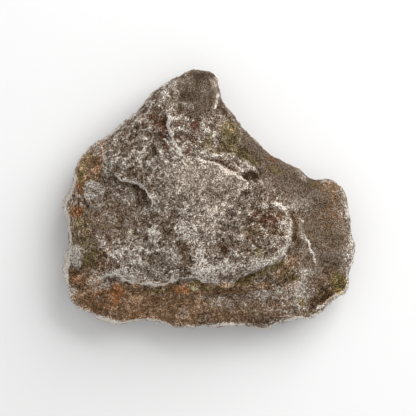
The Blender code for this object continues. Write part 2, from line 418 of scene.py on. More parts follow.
def carve_rims(places):
    """The height that the crisp rims add to the soft ones."""
    added = np.zeros(len(places))
    stray = wandering(places)
    for corners, step, lip, groove, fill in FLAKE_RIMS.values():
        side, strength = line_profile(places, corners, stray)
        crisper = smoothstep(-STEEP_WALL, STEEP_WALL, side) - smoothstep(-SOFT_WALL, SOFT_WALL, side)
        added += step * crisper * strength * np.exp(-np.abs(side) / RIM_REACH)
        high = side * np.sign(step)
        added += lip * strength * np.exp(-(((high - LIP_PLACE) / LIP_WIDTH) ** 2))
        added -= groove * strength * np.exp(-(((high + LIP_PLACE) / CRACK_WIDTH) ** 2))
        added += fill * strength * smoothstep(0.5, -0.5, high) * np.exp(np.minimum(high, 0.0) / FILL_REACH)
    return added


facing_up = smoothstep(-0.1, 0.35, point_normals(rough_out)[:, 2])
points[:, 2] += carve_rims(points) * facing_up
move_points(rough_out, points)
stone_mesh = even_skin(rough_out, "weathered_meteorite")
web = Web(stone_mesh)
points = web.soften(mesh_points(stone_mesh), 1)
print("rims carved:", len(FLAKE_RIMS), "on", len(points), "points")

# %% [markdown]
# ## Stains as spots on a map
# Crust, lichen, rust and moss grow in patches with ragged edges. They could be painted by hand on an
# image, but then the stone would need a UV map with seams. Here each patch is an oval on the plan, and
# noise bends the distance to its edge, which makes it ragged. Patches of one kind add up to one map from
# 0 to 1, stored on the stone's own points. The maps come before the relief, because a crust also stands a
# little proud of the stone.
#
# Each patch in the lists is its middle x and y, its half length and half width in millimetres, its turn
# in degrees and its strength.

# %% A map from patches


def stain_map(places, spots, ragged, softness, seed):
    """
    How strong a stain is at each place, from 0 to 1. Ragged is how far its edge strays and softness how wide
    the edge is, both in half widths.
    """
    stray = bumps(places, 7.0, seed) + 0.7 * bumps(places, 3.1, seed + 1) + 0.5 * bumps(places, 1.4, seed + 2)
    clear = np.ones(len(places))
    for x, y, half_length, half_width, turn, strength in spots:
        angle = math.radians(turn)
        across = places[:, :2] - (x, y)
        u = (across @ (math.cos(angle), math.sin(angle))) / half_length
        v = (across @ (-math.sin(angle), math.cos(angle))) / half_width
        reach = np.hypot(u, v) + ragged * stray
        clear *= 1.0 - strength * smoothstep(1.0 + softness / 2, 1.0 - softness / 2, reach)
    return 1.0 - clear


print("points to stain:", len(points))

# %% [markdown]
# The pale crust is a thin film of lichen and mineral dust, thick on the lobe and in patches elsewhere.
# The lichen proper is whiter and crisper, and young colonies are still round.

# %% Crust and lichen
PALE_CRUST = (
    # a grey film over the crown of the lobe, and smaller patches around it
    (-3, 8, 15, 9, -18, 0.5), (-7, 19, 4, 3, 0, 0.4), (-25, 37, 4, 3, 40, 0.35),
    (14.5, 14.5, 4, 3, -40, 0.6), (-7, 26, 5, 6, 0, 0.25), (-30, -17, 5, 4, 0, 0.4),
    (-16, -22, 6, 5, 0, 0.25), (7, -29, 8, 3, 10, 0.6), (17, -28, 5, 2.4, 25, 0.4),
    (-40, 18, 5, 4, 0, 0.3), (-31, 3, 4, 4, 0, 0.4), (5, 31, 3, 3, 0, 0.45), (5, -34, 6, 2, 0, 0.4),
    (-7, -34, 5, 2, 0, 0.35), (-43, 13, 2.4, 5, 0, 0.35), (-25, -23, 3, 3, 0, 0.3),
    (-48, -48, 6, 3, -20, 0.4), (-25, -34, 6, 2, 0, 0.35), (-56, 4, 2.4, 6, 0, 0.6),
    (-43, -35, 4, 2, 10, 0.4), (34, -5, 3, 2, 0, 0.4), (-14, 14, 6, 6, 0, 0.35), (7, 4, 10, 4, -10, 0.1),
    (-14, -1, 8, 5, 0, 0.3), (-2, -8, 10, 5, 0, 0.3), (-22, 10, 6, 6, 0, 0.15), (-4, -20, 7, 8, 0, 0.2),
    (0, -20, 5, 5, 0, 0.35),
    # the lobe below its crown
    (-31, -28, 9, 5, 10, 0.4), (-28, -20, 9, 4, 0, 0.42), (-22, -14, 6, 3, 0, 0.35),
    (-20, -31, 8, 3, 0, 0.3), (-38, -20, 5, 4, 0, 0.3), (-41, -31.5, 6, 1.8, 20, 0.5),
    (-17, -18, 6, 5, 0, 0.2), (24, -25.5, 8, 2, 25, 0.5), (12, -24, 6, 4, 0, 0.25),
    (31, -15, 3, 7, 10, 0.35),
    # the shoulder and the peak
    (-28, 19, 9, 6, 35, 0.15), (-38, 14, 4, 6, 20, 0.15), (-17, 20, 4, 4, 0, 0.45),
    (-34, 28, 5, 2.6, 30, 0.3), (-9, 31, 4.5, 7, 10, 0.1), (-18.5, 43, 5.5, 2.4, 35, 0.4),
    (-48.5, 18, 2, 2.4, 0, 0.2),
    # the layered pad, the slope, the right side and the ledge
    (10, 15.5, 9, 2.6, -22, 0.25), (30, 3, 12, 4, -25, 0.22), (55.5, 3, 2, 5, 0, 0.25),
    (57, -13, 2, 9, 8, 0.2), (57.5, -25, 2.4, 6, -10, 0.25), (39, -31, 3.4, 8, 0, 0.3),
    (27, -40, 8, 2.6, 0, 0.25), (4, -44, 8, 3.4, 0, 0.25), (32, -43, 3, 3, 0, 0.2),
    (-3.5, -43, 3, 4, 0, 0.2), (-32, -43, 3, 3, 0, 0.15),
)
LICHEN = (
    # crisp, round, pale colonies
    (-54.6, -23.4, 3.4, 4.4, 0, 0.6), (-2.5, -28.4, 4.6, 4.2, 0, 1.0), (-9, -12.4, 4.4, 3.4, 0, 0.6),
    (2, -5.6, 6.5, 3.0, 5, 0.5), (5.5, -27.5, 5.5, 2.6, 20, 0.4), (-33, -31.2, 5.5, 2.6, -20, 0.55),
    (-2.9, 18, 2.2, 2, 0, 0.4), (-43.6, -2, 2, 1.4, 30, 0.5), (-28.5, -20.5, 2.4, 1.3, 0, 0.5),
    (-22.5, -12.8, 2.6, 1, -20, 0.45), (-11, -47, 2.7, 2.3, 0, 0.35), (-13.2, 43, 1.6, 4.5, 10, 0.5),
    (-8, 37.8, 3, 1, -35, 0.5), (-13.6, 38, 1.6, 2.6, 0, 0.35), (-10.6, 28.2, 2.4, 0.8, -15, 0.6),
    (-6.4, 32, 1, 0.8, 0, 0.6), (-11, 33, 2, 1.6, 0, 0.25), (-38.2, 23.4, 2, 1, 45, 0.5),
    (-27.8, 17.5, 1.6, 3.6, -20, 0.4), (-36.5, -22, 3.6, 1.6, 25, 0.4), (-29, -24.4, 2, 2, 0, 0.4),
    (23, -2.3, 1.6, 0.9, -45, 0.7), (-5, -18.5, 3.2, 3, 0, 0.35), (4.6, -9.5, 4, 2, 0, 0.3),
    (39.2, 8.6, 1.2, 1.1, 0, 0.6), (1.8, 47.5, 1.6, 2.6, 20, 0.5), (47.5, 7.6, 1.2, 0.9, 0, 0.6),
    (-56.6, -38, 1.6, 1.2, -40, 0.6), (3.4, -13.4, 1.5, 1.2, 0, 0.4), (-20, -4.2, 3.4, 1.2, 0, 0.3),
    (20, -7.6, 1.6, 1, 0, 0.4), (22, -17, 3, 1.2, -20, 0.4), (17.5, -20, 3, 1.2, -50, 0.35),
)
DISCS = (
    # young colonies that are still round, with a sharp edge
    (-46.6, 3.0, 4.5, 4.8, 0, 0.62), (0.2, 29.3, 4.5, 4.4, 0, 0.26), (-54.6, -23.6, 3.2, 4.4, 0, 1.0),
    (-55.4, -23.6, 2.6, 4.0, 0, 0.5),
)
print("pale patches:", len(PALE_CRUST) + len(LICHEN) + len(DISCS))

# %% [markdown]
# Where nothing grows, the bare stone shows. It is darker there, and the smooth broken faces are greyer
# than the weathered ones. Some of the dark patches are painted shade instead, over hollows and strips
# that lie in shade.

# %% Bare stone
BARE_AND_SHADED_PATCHES = (
    # bare broken faces, and painted shade over hollows and strips that lie in shade
    (-15, -6.5, 3.4, 4.5, 0, 0.7), (-18, -11.8, 2.4, 2.6, 0, 0.9), (-6.4, -8, 3.4, 1.8, 10, 0.7),
    (9, -13, 8, 3, 0, 0.45), (8, -21, 6, 3.4, 0, 0.5), (-9.2, -25.5, 2.6, 4.5, 0, 0.8),
    (-8, -19, 2.4, 2.4, 0, 0.4), (18, -18, 8, 5, 0, 0.35), (17, 0.5, 4, 4, 0, 0.4),
    (-22, 20, 1.8, 3, 0, 0.9), (-17, 14.8, 4, 1.4, 0, 0.5), (-29, 28.2, 7, 2, 8, 0.6),
    (-22, 8, 3, 2.6, 0, 0.45), (-30, 13.4, 3.4, 2.4, 0, 0.4), (-32, 18.6, 2, 2, 0, 0.5),
    (-4, 43, 7, 7.5, -10, 0.7), (-54, -34.5, 3.5, 2.2, -30, 0.3), (47.5, -39, 6.5, 2.2, 35, 1.0),
    (17.8, 9.3, 3.0, 2.0, -15, 1.0), (26, 14, 21, 6.5, -38, 0.85), (46, -10, 8, 16, 0, 0.35),
    (22, 7, 7, 4, -30, 0.6), (-27, 21, 13, 9, 35, 0.4), (-46, 3, 8, 8, 0, 0.4), (22, -12, 9, 8, 0, 0.3),
    (-3, 49.5, 6, 4, 0, 1.0), (11, 3, 8, 4.4, -15, 0.45), (3, 3, 4, 3, 0, 0.3), (-8, 31, 4, 3, 0, 0.4),
    (11, 31, 4, 3, -50, 0.7), (16.5, 0.5, 5, 3.6, 0, 0.85), (7, -11, 6, 3, 0, 0.7),
    (35, -11, 2, 5, 0, 1.0), (11, -17, 3, 4, 0, 0.4), (-40, -26, 6, 5, 0, 0.55), (29, -17, 4, 6, 0, 0.3),
    (52, -29, 4, 3, 0, 0.5), (30, -28.5, 5, 2.4, 20, 0.5), (-48, -17, 3, 5, 0, 0.4),
    (-13, -5, 5, 4, 0, 0.3), (-39, -28, 6, 3, 0, 0.4), (-43, -47, 4, 2, 0, 0.5), (-13, -47, 5, 2, 0, 0.4),
    (-31, 22, 4, 4, 0, 0.3), (-19, 13, 3, 3, 0, 0.4), (37, 7, 3.4, 1.4, -10, 0.6),
    (28, -33.6, 9, 2.6, 10, 0.55), (36, -16, 2, 4, 20, 0.55), (6, -37.5, 9, 1.8, 5, 0.6),
    (-27, 2.2, 2, 4, 42, 0.4), (44, -35, 5, 4, 0, 0.3), (4.5, 36.5, 2.6, 4, -40, 0.6),
    (-1, 31, 2.6, 2.6, 0, 0.5), (-19, 1.5, 3, 3, 0, 0.6), (-38, 1, 4, 3, 0, 0.5),
    (-24, -25, 6, 3, 0, 0.3), (-52, -28.6, 4, 1.2, 35, 0.9), (-12, -22, 3, 3, 0, 0.3),
    (5, 36.6, 2, 3, 0, 0.4), (-34, -14, 6, 5, 0, 0.15), (19, -50, 5, 1.4, 0, 0.5),
    (-7, -50.4, 5, 1, 0, 0.5), (-19, -37, 12, 1.3, 0, 0.4),
)
GREY_FACES = (
    # smooth faces that are greyer than the rest
    (-3, 43, 8, 10, -5, 0.9), (28, 13, 22, 7, -38, 0.6), (40, 2, 12, 7, -20, 0.45),
    (46, -14, 9, 18, 0, 0.25), (-26, 20, 12, 10, 30, 0.3), (0, 4, 20, 16, -15, 1.0),
    (-26, -24, 14, 9, 0, 0.4), (-8, 28, 7, 9, 0, 0.4), (12, 22, 12, 5, -40, 0.4),
)
print("bare patches:", len(BARE_AND_SHADED_PATCHES) + len(GREY_FACES))

# %% [markdown]
# The iron in a meteorite rusts. It tints the lower ledge and the left side a warm brown, breaks out in
# orange spots, and turns the fresh scars a deep red-brown.

# %% Rust
WARM_BROWN = (
    # broad warm areas on the ledge, the left side and the lower right
    (-38, -42, 18, 9, 0, 0.9), (-14, -45, 18, 9, 0, 1.0), (14, -47, 14, 5, 0, 0.5),
    (-55, -4, 6, 24, 0, 0.4), (-50, 13, 6, 9, -20, 0.9), (-51, -32, 8, 5, 10, 0.7),
    (30, -28.5, 8, 4, 25, 0.6), (50, -35, 8, 6, 30, 0.5), (24, -12, 10, 8, 0, 0.35),
    (50, -4, 5, 12, 0, 0.35), (5, -37, 12, 2, 0, 0.6), (27, 13, 6, 2, -30, 0.25),
    (-37, -4, 13, 9, 0, 0.25), (-42, -24, 5, 4, 0, 0.4), (0, -36.5, 34, 2.4, 2, 0.8),
    (33, -40, 6, 8, 0, 0.35), (-48, 6, 4, 4, 0, 0.7), (20, -44, 18, 8, 0, 0.3), (-46, -18, 7, 14, 0, 0.3),
    (47, 5.5, 6, 2, -10, 0.4), (52, -38, 9, 1.6, 38, 0.6),
)
RUST = (
    # small orange spots
    (-38, -37.5, 2.6, 5, 10, 0.8), (-41, -42, 6, 2.4, 20, 0.5), (-47.5, -38.6, 4, 1.6, 10, 0.6),
    (-30, -47.6, 6, 1.4, 0, 0.5), (-54.8, -5, 2.6, 3.4, 0, 0.8), (-10.5, -36.8, 3.6, 1.3, -5, 0.8),
    (-54, -32.6, 4.6, 2.6, -20, 0.6), (-44, 17, 0.9, 6.5, -14, 0.6), (-50.5, 8, 3, 3.4, -30, 0.35),
    (-52.6, 3, 1.6, 2.4, 0, 0.6), (51.3, 2.5, 1.5, 4, 0, 0.45), (50.6, -5, 1.4, 4, 0, 0.25),
    (-48, -42, 3, 2, 0, 0.4), (33, -26.5, 3.6, 2.4, 10, 0.4), (-24, -41, 5, 2, 0, 0.3),
    (54, -8.5, 1.4, 2.4, 0, 0.3), (-57, -2, 1.4, 2, 0, 0.5), (27, 16.4, 2.4, 0.8, -10, 0.5),
    (-46, 22.4, 3, 1, 30, 0.4),
)
RED_BROWN = (
    # fresh scars and the sides of cracks
    (-18.2, 26, 2, 4.6, 12, 0.8), (-27.4, 2, 3, 4.6, 40, 0.45), (24.5, -8, 4.4, 2.2, 0, 0.7),
    (18.8, -6.4, 2.6, 1.6, 0, 0.7), (5, 15.2, 7, 0.8, -12, 0.6), (10.6, 11.8, 3, 0.8, -30, 0.6),
    (-7.4, 18.4, 3.6, 1.2, -25, 0.7), (-9, 29, 4.6, 9, 5, 0.32), (-6, 29, 1.6, 3.4, 0, 0.5),
    (-21, 30, 3, 6, 10, 0.4), (-34, 3, 4, 2, 0, 0.5), (-24, 35.5, 6, 2.4, 20, 0.35),
    (-23.5, 40, 3, 1.6, 40, 0.4), (12, 14.2, 2, 1, -30, 0.5), (-9, 23.6, 4, 2, 0, 0.4),
    (6, 38, 1.2, 3, 25, 0.4), (-47, -27, 4, 2, 40, 0.4), (11, 28.5, 1.2, 2, 20, 0.4),
    (10, -42, 3, 3, 0, 0.35), (3, -47, 6, 2, 0, 0.25), (-16, 18, 2, 1.4, 0, 0.3),
)
print("rusty patches:", len(WARM_BROWN) + len(RUST) + len(RED_BROWN))

# %% [markdown]
# Moss keeps to the foot of the rims and the damp left side. A few small cream chips stick to the stone.

# %% Moss and chips
MOSS = (
    # the foot of the rims, the slope and the left side
    (8, 23.5, 6, 6, -20, 0.5), (5, 21, 6, 2.4, -10, 0.45), (14, 18.4, 6, 1.5, -30, 0.7),
    (9, 28.5, 2.6, 2.6, 0, 0.5), (14, -33.4, 6, 1.6, 28, 0.9), (24, -28.6, 6, 1.4, 25, 0.9),
    (-22, -37.6, 8, 1.2, 0, 0.6), (33, -31.5, 3.6, 2, 10, 0.5), (53.4, -34.8, 3, 3.4, 0, 0.9),
    (-53.5, -11.6, 2.6, 3.6, 0, 0.7), (-50.5, -17.5, 3.4, 5, 10, 0.5), (-49.5, -24.6, 3, 3.4, 0, 0.6),
    (38, -42, 2, 2.6, 0, 0.6), (-5, -34.2, 3.4, 0.9, 5, 0.8), (0, -36.2, 8, 1, 0, 0.5),
    (16, -46, 4, 1.6, 0, 0.4), (-52, 12, 4, 6, -20, 0.6), (20.5, -21.5, 2.6, 1.6, 20, 0.5),
    (17.5, -13, 3.4, 1.4, 0, 0.35), (43, 6, 3, 1.2, 0, 0.4), (27, 12, 2.4, 1.6, 0, 0.5),
    (40, -47, 4, 1, 0, 0.4), (-12, -35.8, 7, 0.8, 0, 0.3), (-40, -45, 4, 1.6, 0, 0.3),
)
CREAM_CHIPS = (
    # small chips
    (-6.2, -36.4, 2.4, 1.0, -14, 1.0), (-31.8, -13.8, 1.4, 1.0, 20, 0.8),
    (-32.2, -1.8, 1.2, 0.8, -30, 0.8), (-10.3, 24, 0.6, 0.5, 0, 0.9), (48.6, -27, 1.1, 0.5, -10, 0.6),
    (46.8, -18.8, 0.7, 0.5, 0, 0.5), (28.4, -29.3, 0.6, 0.5, 0, 0.7), (-3.4, -49.7, 0.6, 0.4, 0, 0.7),
    (-25.3, -25.6, 1.1, 0.6, -40, 0.5),
)
print("moss patches and chips:", len(MOSS) + len(CREAM_CHIPS))

# %% [markdown]
# All the maps are made in one go. They fade out on the underside, where nothing grows, and each kind has its
# own seed, so that their ragged edges don't follow each other.

# %% Maps of the stains
# Each kind's patches, how ragged and how soft their edges are, and a seed.
STAIN_KINDS = {
    "crust": (PALE_CRUST, 0.35, 0.7, 10), "lichen": (LICHEN, 0.22, 0.35, 13), "discs": (DISCS, 0.1, 0.15, 70),
    "grey": (GREY_FACES, 0.15, 0.8, 73), "dark": (BARE_AND_SHADED_PATCHES, 0.35, 0.8, 16),
    "warm": (WARM_BROWN, 0.2, 1.0, 19), "rust": (RUST, 0.45, 0.9, 22), "red": (RED_BROWN, 0.35, 0.8, 25),
    "moss": (MOSS, 0.4, 0.9, 28), "chips": (CREAM_CHIPS, 0.2, 0.4, 31),
}
normals = point_normals(stone_mesh)
top = smoothstep(-0.15, 0.2, normals[:, 2])
stains = {kind: stain_map(points, *settings) * top for kind, settings in STAIN_KINDS.items()}
stains["lichen"] = 1.0 - (1.0 - stains["lichen"]) * (1.0 - stains.pop("discs"))
for kind, stain in stains.items():
    print(kind, "covers", round(float(stain[top > 0.5].mean()), 2), "of the top")

# %% [markdown]
# ## Ridges, seams and cracks
# Besides the flake rims there are low lines: pale ridges where a thin layer ends, streaks along the grain
# of the rock, and cracks that have filled with dirt. A few are wide and soft, and stand for shallow dents
# and darker strips. Their darker tone is painted shade, and so is the dark of the pocket.

# %% Ridges, seams and cracks
# Each line's corners, its half width and its height in millimetres, negative for a crack, and the change
# that it makes to how pale the stone is.
SURFACE_LINES = {
    "crown_edge": (
        (
            (-9, 18.5), (-5, 16), (0, 14.8), (4, 13.6), (8, 11), (12, 9.3), (14.6, 7.6), (15.2, 5.5),
            (14.8, 3.4),
        ),
        0.6, 0.3, 0.14,
    ),
    "crown_crack": (
        ((-10.5, 20.0), (-6, 17.8), (-2, 16.6), (1, 15.8), (5, 15.2), (8, 12.8), (12.5, 10.8)),
        0.4, -0.4, -0.22,
    ),
    "pad_crack": (((8, 17.4), (12, 15.2), (14.5, 13.2)), 0.5, -0.25, -0.14),
    # painted shade: the pocket's dark tone stands for the shade inside it
    "pocket": (((13.5, 10.6), (15.8, 9.9), (18.0, 9.6), (20.2, 8.8), (22, 7.4)), 1.3, -0.9, -0.34),
    "crown_seam": (((16.2, 5.0), (15.6, 2.8), (13.8, 1.0), (12, -1)), 0.45, -0.35, -0.24),
    "grey_band": (((-40.6, 21), (-42, 15), (-43.4, 8)), 1.3, 0.15, 0.06),
    "slope_streak": (((21, 4.4), (27, 3.4), (31, 1.4), (36, -1.6), (41, -3.6)), 0.8, 0.15, 0.08),
    "slope_crack": (((26, 3.2), (30, 1.6), (34, -0.6)), 0.5, -0.2, -0.12),
    "upper_slope_streak": (((10, 24), (14, 20.6), (19, 17.6), (24, 14)), 0.6, -0.2, -0.1),
    "white_scratch": (((25.0, -0.2), (29, -2.3), (33, -4.8)), 0.5, 0.2, 0.22),
    "basin_seam": (((35.5, -12), (38, -15.5), (41, -19), (43.5, -24), (44.5, -30)), 1.0, 0.25, 0.12),
    "second_basin_seam": (((38.0, -13), (40.4, -17.0), (42.6, -20.4)), 0.4, 0.15, 0.12),
    "short_seams": (((35.4, -6.5), (37.6, -8.6), (39.4, -10.6)), 0.4, 0.15, 0.2),
    "pink_ridge": (
        ((37.2, -26), (39.2, -30), (38.2, -33.5), (36.8, -37), (36, -41), (35.8, -45)),
        1.7, 0.35, 0.16,
    ),
    "low_streak": (((19, -38.6), (26, -38.6), (33, -37.4)), 0.8, 0.2, 0.1),
    "lower_streak": (((19, -41.6), (24, -40), (30, -40.4), (34, -42.4)), 0.7, 0.2, 0.1),
    "left_streak": (((-2, -41), (4, -40.5), (10, -41.5)), 0.8, 0.15, 0.06),
    "peak_edge": (((-0.5, 35.0), (2.2, 37), (3.4, 40), (3.7, 43), (2.6, 46)), 0.6, 0.2, 0.2),
    "scallop": (((-20.5, 23.8), (-18, 24), (-16.2, 22.6), (-15.4, 20)), 0.6, 0.4, 0.2),
    "scallop_pit": (((-22.2, 22.4), (-21.8, 20), (-22, 17.6)), 1.0, -0.5, -0.12),
    "brown_seam": (((13, -9.6), (19, -9.2), (25, -8.6)), 0.5, -0.3, -0.12),
    "second_brown_seam": (((19, -11.4), (25, -10.8), (32, -10.8)), 0.5, -0.3, -0.14),
    "third_brown_seam": (((21, -14.4), (26, -14.0), (31.5, -14.6)), 0.5, -0.3, -0.14),
    "fourth_brown_seam": (((15, -15.6), (20, -16.2), (26, -18.6)), 0.5, -0.3, -0.12),
    "pale_lobe_band": (
        (
            (32.6, -5.5), (33.3, -9), (32.9, -13), (32.2, -17), (30.4, -20.5), (27, -23.6), (22, -26),
            (15, -28.8),
        ),
        1.3, 0.1, 0.12,
    ),
    "left_tail": (((-49, -34.4), (-44, -33.2), (-40.5, -31.0), (-36, -30.8)), 1.3, 0.2, 0.12),
    # the lines below paint shade: a darker tone over shallow dents and strips that lie in shade
    "tip_shade": (((-10, 48), (-5, 50), (0, 49.5), (3, 46)), 3.2, 0.0, -0.15),
    "bowl_shade": (((-5, 1.5), (1, 0.5), (8, 1.5)), 2.2, -0.2, -0.12),
    "bowl_end_shade": (((12, 3), (16, 1), (20, 1)), 2.2, -0.2, -0.12),
    "low_crown_shade": (((3, -11.5), (9, -11.5), (13, -13)), 2.2, -0.2, -0.1),
    "neck_shade": (((-16, 34), (-13, 38), (-9, 44), (-7, 49)), 1.6, 0.0, -0.09),
    "edge_of_tip_shade": (((0, 32), (1, 37), (1, 43), (0, 47)), 1.8, 0.0, -0.09),
    "small_hollow": (((-21, 14), (-18, 12), (-16, 10)), 2.0, -0.2, -0.1),
    "second_small_hollow": (((-16, -4), (-11, -6), (-6, -5)), 1.8, -0.2, -0.09),
    "left_hollow": (((-45, -24), (-40, -24), (-36, -23)), 2.4, -0.2, -0.09),
    "low_left_hollow": (((-22, -24), (-19, -23), (-15, -24)), 2.0, -0.2, -0.1),
    "slope_end_shade": (((13, 10.5), (18, 7), (23, 5.5)), 1.8, -0.1, -0.1),
    "flank_shade": (((3, 38), (6, 35), (11, 30)), 1.8, 0.0, -0.08),
    "slope_foot": (((16, 16.4), (20, 12.6), (23, 9)), 0.6, -0.2, -0.1),
}
stray = wandering(points) * 0.7
line_height = np.zeros(len(points))
line_tone = np.zeros(len(points))
for corners, half_width, height, change in SURFACE_LINES.values():
    side, strength = line_profile(points, corners, stray)
    mark = strength * np.exp(-((side / half_width) ** 2))
    line_height += height * mark
    line_tone += change * mark
print("lines:", len(SURFACE_LINES))

# %% [markdown]
# ## Relief
# The surface of a weathered stone is rough at every size: dents of a few millimetres, a crumbly grain of
# about one, and thin scabs of crust with broken edges. All of it is pushed along the surface's normals,
# so it also shows on the sides, where a Displace along z would smear it. A few broken faces are much
# smoother than the rest, and there the relief is turned down. Others are lumpy.

# %% Relief
SMOOTH_FACES = (
    # broken faces that are smoother than the rest
    (-4, 43, 8, 8, -5, 0.92), (27, 13, 22, 5.5, -38, 0.8), (46, -12, 11, 20, 0, 0.8),
    (-40, -6, 9, 8, 0, 0.35), (0, -45, 60, 7, 0, 0.25), (34, 3, 12, 5, -20, 0.3),
    (0, 8, 12, 7, -15, 0.35), (-14, 12, 6, 6, 0, 0.2),
)
LUMPY_ZONES = (
    # crumbling, lumpy areas
    (-26, 21, 15, 12, 30, 1.0), (-11, 29, 6, 11, 0, 0.9), (22, -12, 11, 11, 0, 0.7),
    (-30, -22, 13, 9, 0, 0.7), (-6, -20, 9, 12, 0, 0.6), (-16, 44, 5, 8, -30, 0.6),
    (9, 15.5, 9, 3, -22, 0.5),
)
LUMP_SIZE = 3.4
LUMP_HEIGHT = 0.5
RELIEF = ((7.0, 0.34), (3.2, 0.26), (1.7, 0.2))
SCAB_SIZE = 4.2
SCAB_HEIGHT = 0.22
PIT_SIZE = 1.5
PIT_DEPTH = 0.25
LICHEN_HEIGHT = 0.2

roughness = 1.0 - stain_map(points, SMOOTH_FACES, 0.2, 0.9, 40) * top
relief = np.zeros(len(points))
for index, (size, height) in enumerate(RELIEF):
    relief += height * bumps(points, size, 44 + index)
scab_noise = bumps(points, SCAB_SIZE, 48) + 0.5 * bumps(points, 1.6, 49)
scab = smoothstep(-0.03, 0.1, scab_noise + 0.5 * (stains["crust"] + stains["lichen"] - 0.35))
pits = smoothstep(0.35, 0.7, bumps(points, PIT_SIZE, 50))
relief += SCAB_HEIGHT * scab - PIT_DEPTH * pits
lumpy = stain_map(points, LUMPY_ZONES, 0.3, 0.9, 64) * top
lump_noise = bumps(points, LUMP_SIZE, 67) + 0.5 * bumps(points, LUMP_SIZE / 2, 68)
lumps = lumpy * (smoothstep(-0.25, 0.35, lump_noise) - 0.5)
relief += LUMP_HEIGHT * lumps
relief = relief * (0.25 + 0.75 * roughness) + line_height + LICHEN_HEIGHT * stains["lichen"]
points = points + normals * relief[:, None]
points[:, 2] = np.maximum(points[:, 2], 0.0)
move_points(stone_mesh, points)
print("relief from", round(float(relief.min()), 2), "to", round(float(relief.max()), 2), "mm")

# %% [markdown]
# ## Worn edges, and hollows darkened with dirt and painted shade
# Dust and lichen catch on edges. Hollows are darkened too, partly for the dirt that stays in them and
# partly as painted shade. Both are found by measuring the shape: a point that stands proud of the average
# of its neighbourhood is on an edge, and one that lies below it is in a hollow. Averaging over more rounds
# gives a wider neighbourhood. The shader's Pointiness would do the same, but only for the finest edges,
# and the export would lose it.

# %% Edges and hollows
FINE_ROUNDS = 6
BROAD_ROUNDS = 60
normals = point_normals(stone_mesh)


def proudness(rounds):
    """How far each point stands out from the average of its neighbourhood, in millimetres."""
    return ((points - web.soften(points, rounds)) * normals).sum(1)


fine = proudness(FINE_ROUNDS)
broad = proudness(BROAD_ROUNDS)
worn = np.clip(0.6 * smoothstep(0.03, 0.16, fine) + 0.5 * smoothstep(0.15, 0.6, broad), 0.0, 1.0)
# hollows get dirt and painted shade: the lower a point lies below its neighbourhood, the darker it is
hollow_dirt_and_shade = np.clip(0.6 * smoothstep(0.03, 0.16, -fine) + 0.5 * smoothstep(0.15, 0.8, -broad), 0.0, 1.0)
print("fine", np.percentile(fine, (5, 50, 95)).round(3), "broad", np.percentile(broad, (5, 50, 95)).round(3))

# %% [markdown]
# ## The pale edge: dust and painted light
# A pale band runs along the stone's outline, wide on the left and at the bottom and nearly gone in the
# hollow on the right. It is partly dust and partly painted light, which brightens the sides turned from
# the lamp. To find the band, the stone's plan is drawn on a grid. The plan is then shrunk by one cell at a
# time, and the number of times that a cell survives says how far in from the outline it lies.

# %% How far in from the outline
PLAN_CELL = 0.4
PLAN_REACH = 10
HOLE_ROUNDS = 3


def beside(grid):
    """The four neighbours of each inner cell of a grid."""
    return np.array((grid[2:, 1:-1], grid[:-2, 1:-1], grid[1:-1, 2:], grid[1:-1, :-2]))


def plan_cells(places):
    """The column and the row of the plan that each place lies in."""
    return ((places - plan_low) / PLAN_CELL).astype(int).T


on_plan = points[:, :2]
plan_low = on_plan.min(0) - 2 * PLAN_CELL
edge_middles = (on_plan[web.one] + on_plan[web.other]) / 2
face_middles = np.array([face.center[:2] for face in stone_mesh.polygons]) / MM
plan = np.zeros(plan_cells(on_plan).max(1) + 3)
for places in (on_plan, edge_middles, face_middles):
    plan[tuple(plan_cells(places))] = 1.0
for _ in range(HOLE_ROUNDS):
    plan[1:-1, 1:-1] = np.maximum(plan[1:-1, 1:-1], beside(plan).sum(0) >= 3.0)
inset_cells = plan.copy()
for _ in range(PLAN_REACH):
    plan[1:-1, 1:-1] = np.minimum(plan[1:-1, 1:-1], beside(plan).min(0))
    inset_cells += plan
inset = PLAN_CELL * web.soften(inset_cells[tuple(plan_cells(on_plan))], 2)
print("furthest in that is measured:", round(float(inset.max()), 1), "mm")

# %% [markdown]
# The band's width follows the side that it faces, a few patches and some noise. It is wider and paler on
# the sides turned from the lamp, where it is painted light as well as dust. On the steep sides the dust is
# patchy, because rain washes it off.

# %% Dust along the edge
WIDE_EDGES = (
    # where the band of dust and painted light is wider
    (-58.6, -9, 3, 6, 0, 0.7), (-57, 4, 3, 8, 0, 1.0), (-58, -26, 4, 6, 0, 1.0),
    (-44, -50, 7, 3, -8, 1.0), (-59.5, -33, 3, 5, 0, 0.6), (57, -8, 3, 12, 0, 0.3),
    (59, -24, 4, 9, 0, 0.4), (-30, 34, 16, 4, 40, 0.3),
)
away = smoothstep(1.0, -0.2, normals[:, 0] + normals[:, 1])
wide = stain_map(points, WIDE_EDGES, 0.2, 0.9, 56)
edge_width = 0.45 + 0.9 * away + 1.3 * wide + 0.5 * bumps(points, 5.0, 59)
edge_dust_and_painted_light = smoothstep(edge_width + 0.5, edge_width - 0.3, inset) * smoothstep(-0.3, 0.05, normals[:, 2])
# painted light: the band is paler on the sides turned from the lamp
edge_dust_and_painted_light *= 0.25 + 0.75 * away
steep = smoothstep(0.5, 0.0, normals[:, 2])
washed = 0.5 + 0.9 * bumps(points, 4.0, 77) + 0.9 * bumps(points, 1.8, 78)
edge_dust_and_painted_light *= np.clip(1.0 - steep * washed, 0.0, 1.0)
print("edge dust:", round(float(edge_dust_and_painted_light[top > 0.5].mean()), 3), "of the top")

# %% [markdown]
# ## Marks along the rims
# The lip of each rim carries a bright line, often thinner than one of the mesh's squares. A map of
# paleness would blur it. So each point gets its distance from the nearest lip, which changes evenly from
# point to point, and the material draws the line from that distance. The darkening in the crack at the
# foot of each wall is dirt and painted shade. It is wider and is a plain map.

